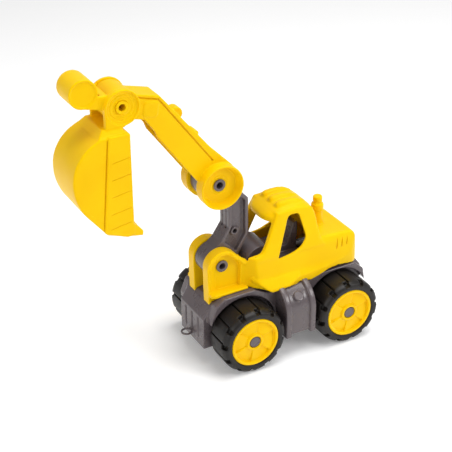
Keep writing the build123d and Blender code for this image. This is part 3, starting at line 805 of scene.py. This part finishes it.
    def open_up(self, shell: Moulding) -> None:
        """Cuts the windows and exhaust socket, and trims the lower edge.

        Args:
            shell: The moulding.
        """
        shell.cut(prism(rounded([(14.5, 103.0), (-0.5, 146.0), (-12.5, 146.0), (-19.5, 119.0), (-13.5, 110.5),
                                 (-2.0, 105.5)], 4.0), -45, 45))
        windscreen = [(25.6, self.sill_z), (20.3, 140.5), (-20.3, 140.5), (-25.6, self.sill_z)]
        shell.cut(prism(rounded(windscreen, 2.0), 2.0, 70.0, View.FRONT))
        shell.cut(prism([(24.0, -24.6), (48.6, -24.6), (48.6, 24.6), (24.0, 24.6)],
                        self.sill_z - 4.0, self.sill_z + 6.0, View.PLAN))
        below = [(-95.0, 50.0), (-95.0, 76.0), (-76.0, 75.8), (-56.0, 78.8), (-44.0, 78.2), (-31.0, 73.8),
                 (-22.0, 72.0), (-9.0, 74.4), (0.0, 69.6), (2.4, 69.6), (5.0, 73.6), (24.0, 72.0),
                 (29.5, 75.4), (37.0, 77.4), (95.0, 77.4), (95.0, 50.0)]
        shell.cut(prism(below, -45, 45))
        shell.cut(rod(3.05, Vector((-50.0, 0.0, 100.0)), 0.0, 20.0, View.PLAN))

    def fit_chassis(self, shell: Moulding, pin: Vector) -> None:
        """Cuts the gap for the arm, the pin's bore and the fit over deck, fenders and tanks.

        Args:
            shell: The moulding.
            pin: Middle of the base pin.
        """
        shell.cut(prism(circle((pin.x, pin.z), 26.0), -self.ear_in, self.ear_in))
        shell.cut(prism([(pin.x - 6.0, pin.z - 50.0), (pin.x + 34.0, pin.z - 50.0),
                         (pin.x + 34.0, pin.z + 10.0), (pin.x - 6.0, pin.z + 10.0)],
                        -self.ear_in, self.ear_in))
        shell.cut(rod(4.75, pin, -40.0, 40.0))
        shell.cut(prism([(96.0, 10.0), (95.1, 53.0), (87.1, 66.1), (83.0, 70.1), (60.0, 72.1), (-48.0, 72.1),
                         (-58.0, 75.6), (-82.1, 75.6), (-90.1, 65.0), (-90.1, 10.0)], -24.6, 24.6))
        fender = [(91.1, 20.0), (90.6, 56.0), (85.1, 70.0), (76.0, 76.6), (42.0, 77.6), (26.0, 70.1),
                  (-18.0, 69.1), (-34.0, 75.1), (-76.0, 75.6), (-87.1, 66.1), (-90.1, 50.0), (-90.1, 20.0)]
        for side in (1, -1):
            shell.cut(prism(fender, 23.0 * side, 34.1 * side))


@dataclass
class UpperArm:
    """Yellow boom: bent beam with a groove along its cheeks, elbow discs and hose lugs."""

    cheek: float = 12.5
    line_width: float = 1.5
    line_depth: float = 1.3

    def build(self, places: Places, finishes: Finishes) -> bpy.types.Object:
        """Builds and dresses the boom.

        Args:
            places: Positions from the frame.
            finishes: The materials.
        Returns:
            The piece.
        """
        arm = Moulding.of_node("boom", places.nodes["upper_arm"], places.middle)
        trail = [(155.0, 297.6), (129.8, 290.8), (76.0, 218.4)]
        elbow = places.local("elbow_pin")
        for side in (1, -1):
            arm.join(lathe([(8.4, 13.0 * side), (9.4, 13.0 * side), (9.2, 14.7 * side), (8.6, 14.7 * side)],
                           Vector((elbow.x, 0.0, elbow.z)), View.SIDE))
        arm.melt(0.55, 4)
        for side in (1, -1):
            for start, end in zip(trail, trail[1:]):
                arm.cut(stripe(start, end, self.line_width, (self.cheek - self.line_depth) * side,
                               (self.cheek + 1.0) * side))
        return places.finish(arm, "upper_arm", finishes, YELLOW)


@dataclass
class Scoop:
    """Yellow bucket: edge strips with slanted marks, stepped pivot ear, neck and round grip."""

    strip_face: float = 26.5
    mark_width: float = 0.7
    mark_depth: float = 0.4
    grip: Vector = field(default_factory=lambda: Vector((200.7, 0.0, 309.5)))

    def build(self, places: Places, finishes: Finishes) -> bpy.types.Object:
        """Builds and dresses the bucket.

        Args:
            places: Positions from the frame.
            finishes: The materials.
        Returns:
            The piece.
        """
        scoop = Moulding.of_node("scoop", places.nodes["bucket"], places.middle)
        marks = [((x, z), (x - 20.0, z + 3.4)) for x, z in ((182.6, 245.6), (183.6, 229.2), (184.6, 212.6),
                                                          (185.8, 195.6), (186.8, 181.0))]
        for side in (1, -1):
            scoop.cut(prism([(self.grip.x - 14.2, 280.0), (self.grip.x + 20.0, 280.0),
                             (self.grip.x + 20.0, self.grip.z + 4.0),
                             (self.grip.x - 14.2, self.grip.z + 4.0)], 14.45 * side, 16.0 * side))
            scoop.cut(rod(12.0, self.grip, 12.9 * side, 16.0 * side))
        scoop.cut(prism([(216.0, 277.0), (187.0, 277.0), (189.4, 273.6)]
                        + arc((179.9, 231.4), 39.8, 70.0, 47.1, 10), -30, 30))
        scoop.melt(0.6, 12)
        tip = places.local("bucket_pin")
        tip.y = 0.0
        for inner, outer, top in ((6.6, 7.4, 17.6), (10.4, 11.2, 17.5), (12.6, 15.3, 17.8)):
            scoop.join(lathe([(inner, 16.5), (outer, 16.5), (outer, top), (inner, top)], tip, View.SIDE))
        scoop.melt(0.5, 3)
        for side in (1, -1):
            near, far = (self.strip_face - self.mark_depth) * side, (self.strip_face + 1.0) * side
            for start, end in marks:
                scoop.cut(stripe(start, end, self.mark_width, near, far))
            scoop.cut(stripe((185.6, 268.0), (193.6, 178.4), 1.1, 24.3 * side, 28.0 * side))
        return places.finish(scoop, "bucket", finishes, YELLOW)


@dataclass
class Wheel:
    """Tyre with smooth tread blocks, and a rim with a turbine-like dish."""

    corner: str
    radius: float = 35.0
    inner: float = 26.8
    outer: float = 60.0
    rim_radius: float = 26.0
    lugs: int = 12
    notch: float = 5.0
    groove: float = 1.5
    groove_depth: float = 2.3
    lug_phase: float = 23.5
    facets: int = 6
    facet_phase: float = 41.5
    facet_step: float = 2.3

    def tyre(self, hub: Vector, side: int) -> Moulding:
        """Tyre with its grooves and shoulder notches.

        Args:
            hub: Point on the axle at the toy's centre plane.
            side: One for left, minus one for right.
        Returns:
            The moulding.
        """
        r, a, b = self.radius, self.inner, self.outer
        profile = [(self.rim_radius, a + 2.0), (29.6, a), (33.2, a + 0.8), (r - 0.3, a + 3.2), (r, a + 6.0),
                   (r, b - 6.4), (34.6, b - 4.0), (33.2, b - 1.2), (31.0, b), (28.0, b), (26.8, b - 0.3),
                   (self.rim_radius, b - 1.2)]
        tyre = Moulding("tyre", lathe([(u, v * side) for u, v in profile], hub, View.SIDE, 144))
        for k in range(self.lugs):
            turn = math.radians(self.lug_phase + 360.0 / self.lugs * k)
            tyre.cut(self.tooth(hub, turn, self.notch / 2, r - 4.4, b - 7.5, b + 1.0, side))
            drift = turn + math.radians(5.4)
            tyre.cut(self.tooth(hub, drift, self.groove / 2, r - self.groove_depth, a - 1.0, b - 5.0, side))
        return tyre

    def tooth(self, hub: Vector, turn: float, half: float, depth: float, near: float, far: float,
              side: int) -> bpy.types.Object:
        """Cutter for one notch or groove.

        Args:
            hub: Point on the axle.
            turn: Direction from the axle in radians.
            half: Half its width.
            depth: Distance from the axle to its floor.
            near: Its inner end.
            far: Its outer end.
            side: One for left, minus one for right.
        Returns:
            The cutter.
        """
        out = Vector((math.cos(turn), math.sin(turn)))
        along = Vector((-out.y, out.x))
        corners = [out * depth - along * half, out * (self.radius + 2) - along * half * 1.15,
                   out * (self.radius + 2) + along * half * 1.15, out * depth + along * half]
        return prism([(hub.x + c.x, hub.z + c.y) for c in corners], near * side, far * side)

    def rim(self, hub: Vector, side: int) -> Moulding:
        """Rim: barrel, raised outer ring, turbine dish and hub ring.

        Args:
            hub: Point on the axle at the toy's centre plane.
            side: One for left, minus one for right.
        Returns:
            The moulding.
        """
        face = self.outer - 0.4
        profile = [(3.1, 24.9), (7.0, 24.9), (7.6, 49.5), (22.0, 51.0), (22.6, self.inner + 3.0),
                   (25.95, self.inner + 3.0), (25.95, face - 0.7), (25.2, face), (23.4, face),
                   (22.7, face - 0.7), (22.2, 55.0), (10.0, 53.6), (9.2, face - 1.2), (8.4, face - 0.5),
                   (6.7, face - 0.5),
                   (6.4, face - 1.2), (6.4, 56.0), (3.1, 56.0)]
        rim = Moulding("rim", lathe([(u, v * side) for u, v in profile], hub, View.SIDE, 120))
        rim.join(self.turbine(hub, side))
        return rim

    def turbine(self, hub: Vector, side: int) -> bpy.types.Object:
        """Ring of slanted facets in the rim's dish.

        Args:
            hub: Point on the axle.
            side: One for left, minus one for right.
        Returns:
            The ring's block.
        """
        pitch = 360.0 / self.facets
        shape = bmesh.new()
        columns = []
        for k in range(self.facets):
            for share in (0.0, 0.33, 0.66, 0.985):
                angle = math.radians(self.facet_phase + pitch * (k + share))
                lift = self.facet_step * share
                column = []
                for radius, height in ((8.6, 52.6), (8.6, 56.6 + lift * 0.35), (22.4, 55.4 + lift),
                                       (22.4, 52.6)):
                    column.append(shape.verts.new((hub.x + radius * math.cos(angle), height * side,
                                                   hub.z + radius * math.sin(angle))))
                columns.append(column)
        for first, second in zip(columns, columns[1:] + columns[:1]):
            for i in range(4):
                j = (i + 1) % 4
                shape.faces.new((first[i], first[j], second[j], second[i]))
        return as_object("turbine", shape)

    def build(self, places: Places, finishes: Finishes) -> list[bpy.types.Object]:
        """Builds and dresses the wheel.

        Args:
            places: Positions from the frame.
            finishes: The materials.
        Returns:
            The tyre and the rim.
        """
        side = 1 if self.corner.endswith("left") else -1
        hub = places.local(self.corner + "_rim")
        hub.y = 0.0
        tyre = self.tyre(hub, side).melt(0.55, 4)
        rim = self.rim(hub, side).melt(0.42, 3)
        tyre.body.name = self.corner + "_tread_tyre"
        rim.body.name = self.corner + "_dished_rim"
        return [places.finish(tyre, self.corner + "_tyre", finishes, TYRE),
                places.finish(rim, self.corner + "_rim", finishes, YELLOW)]


class Studio:
    """Floor, lights and camera."""

    lens = 95.19
    sensor = 36.0
    eye = Vector((0.479412, 0.900930, 0.701059))
    right = Vector((-0.87797857, 0.47867857, -0.00452411))
    up = Vector((-0.23420892, -0.42129853, 0.8761585))
    back = Vector((0.4174923, 0.77030797, 0.48200187))

    def camera(self) -> None:
        """Adds the camera that looks from the front left and above."""
        data = bpy.data.cameras.new("camera")
        data.lens = self.lens
        data.sensor_width = self.sensor
        data.clip_start = 0.01
        data.clip_end = 50.0
        camera = bpy.data.objects.new("camera", data)
        bpy.context.scene.collection.objects.link(camera)
        turn = Matrix((self.right, self.up, self.back)).transposed().to_4x4()
        camera.matrix_world = Matrix.Translation(self.eye) @ turn
        bpy.context.scene.camera = camera

    def floor(self) -> None:
        """Adds a plain pale floor."""
        shape = bmesh.new()
        bmesh.ops.create_circle(shape, cap_ends=True, segments=96, radius=7.0)
        floor = as_object("floor", shape)
        material = bpy.data.materials.new("pale_floor")
        material.use_nodes = True
        nodes, links = material.node_tree.nodes, material.node_tree.links
        shader = nodes["Principled BSDF"]
        shader.inputs["Roughness"].default_value = 0.9
        shader.inputs["Specular IOR Level"].default_value = 0.1
        place = nodes.new("ShaderNodeTexCoord")
        tint = nodes.new("ShaderNodeMix")
        tint.data_type = "RGBA"
        tint.inputs[6].default_value = (0.93, 0.93, 0.93, 1.0)
        tint.inputs[7].default_value = (0.95, 0.95, 0.95, 1.0)
        links.new(noise(nodes, links, place, 3.0, 2.0), tint.inputs[0])
        links.new(tint.outputs[2], shader.inputs["Base Color"])
        shader.inputs["Emission Color"].default_value = (1.0, 1.0, 1.0, 1.0)
        shader.inputs["Emission Strength"].default_value = 0.14
        floor.data.materials.append(material)

    def lamp(self, name: str, place: Vector, aim: Vector, size: float, power: float) -> None:
        """Adds a soft square lamp.

        Args:
            name: Its name.
            place: Where it hangs.
            aim: Point that it faces.
            size: Its side in metres.
            power: Its power in watts.
        """
        data = bpy.data.lights.new(name, "AREA")
        data.shape = "SQUARE"
        data.size = size
        data.energy = power
        light = bpy.data.objects.new(name, data)
        bpy.context.scene.collection.objects.link(light)
        light.location = place
        light.rotation_mode = "QUATERNION"
        light.rotation_quaternion = (aim - place).to_track_quat("-Z", "Y")

    def build(self) -> None:
        """Sets up the whole studio."""
        self.camera()
        self.floor()
        world = bpy.data.worlds.new("soft_room")
        world.use_nodes = True
        world.node_tree.nodes["Background"].inputs[0].default_value = (1.0, 1.0, 1.0, 1.0)
        world.node_tree.nodes["Background"].inputs[1].default_value = 0.43
        bpy.context.scene.world = world
        bpy.context.scene.view_settings.view_transform = "Standard"
        aim = Vector((0.0, 0.0, 0.12))
        self.lamp("top", Vector((-0.3, 0.1, 1.6)), aim, 1.0, 17.0)
        self.lamp("key", Vector((-1.0, 1.2, 1.1)), aim, 0.7, 12.0)
        self.lamp("front", Vector((1.5, 0.4, 0.8)), aim, 0.9, 7.0)


def carried_over(places: Places, finishes: Finishes) -> None:
    """Softens and dresses the CAD nodes that stay.

    Args:
        places: Positions from the frame.
        finishes: The materials.
    """
    grey = {"chassis_frame": 0.7, "side_tank_left": 0.6, "side_tank_right": 0.6, "cab_interior": 0.6,
            "lower_arm": 0.55, "chassis_floor": 0.8, "base_pin": 0.35, "elbow_pin": 0.35,
            "base_pin_clip": 0.35, "elbow_pin_clip": 0.35}
    grey |= {corner + "_hub_cap": 0.3 for corner in CORNERS}
    yellow = {"exhaust_stack": 0.4, "bucket_pin": 0.35, "bucket_pin_clip": 0.35}
    for names, look in ((grey, GREY), (yellow, YELLOW)):
        for node, voxel in names.items():
            finishes.dress(places.nodes[node], look)
            soften(places.nodes[node], voxel, 4)
    for node in ("front_axle", "rear_axle", "floor_screws", "body_screws"):
        finishes.dress(places.nodes[node], STEEL)


CORNERS = ("front_left", "front_right", "rear_left", "rear_right")


def main() -> None:
    """Builds the toy around its frame, piece by piece."""
    logging.basicConfig(level=logging.INFO, format="%(name)s: %(message)s")
    for item in list(bpy.data.objects):
        bpy.data.objects.remove(item)
    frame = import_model()
    places = Places(frame)
    finishes = Finishes()
    carried_over(places, finishes)
    log.info("carried-over nodes dressed")
    for part in (BodyShell(), UpperArm(), Scoop()):
        log.info("built %s", part.build(places, finishes).name)
    for corner in CORNERS:
        phase = 5.4 if corner.startswith("front") else 23.5
        for piece in Wheel(corner, lug_phase=phase).build(places, finishes):
            log.info("built %s", piece.name)
    Studio().build()


if __name__ == "__main__":
    main()
